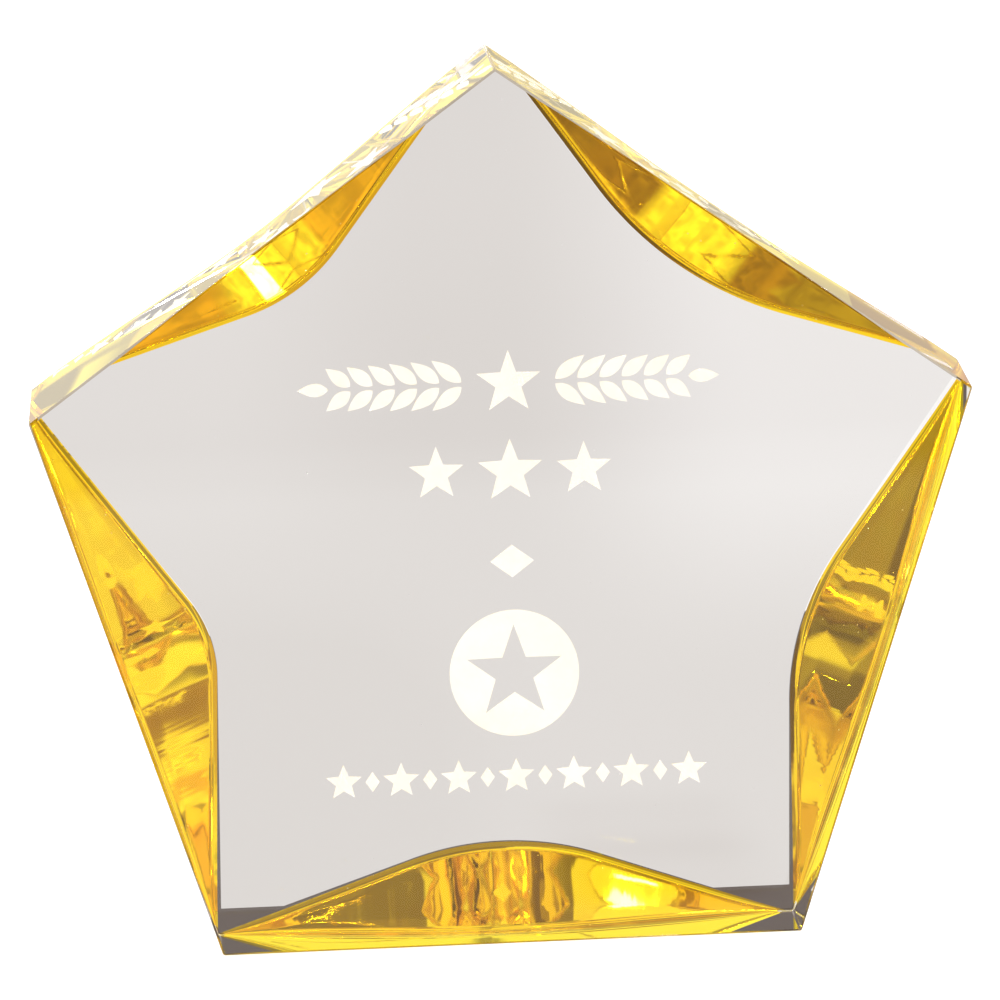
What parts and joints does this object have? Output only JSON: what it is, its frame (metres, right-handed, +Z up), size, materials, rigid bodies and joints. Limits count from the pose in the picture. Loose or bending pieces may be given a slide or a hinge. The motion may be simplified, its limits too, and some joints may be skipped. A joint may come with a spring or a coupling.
{
  "type": "star trophy",
  "caption": "Free-standing clear acrylic plate with a pentagon front and gold-lined scoops ground into its back edges, which leave a clear star.",
  "frame": {"origin": "on the plane the plate stands on, centred left to right and in the middle of the plate's thickness", "axes": "+X to the viewer's right across the plate, +Y from the front face to the back face, +Z up to the top point"},
  "size_m": [0.1458, 0.019, 0.1387],
  "materials": {
    "clear_acrylic": "polished clear cast acrylic, with frosted engraving in the back face",
    "gold_lining": "mirror gold, seen through the acrylic"
  },
  "bodies": {
    "root": {"acrylic_star_plate": "clear_acrylic", "gold_lining_top_left": "gold_lining", "gold_lining_top_right": "gold_lining", "gold_lining_left": "gold_lining", "gold_lining_right": "gold_lining", "gold_lining_bottom": "gold_lining"}
  },
  "joints": []
}
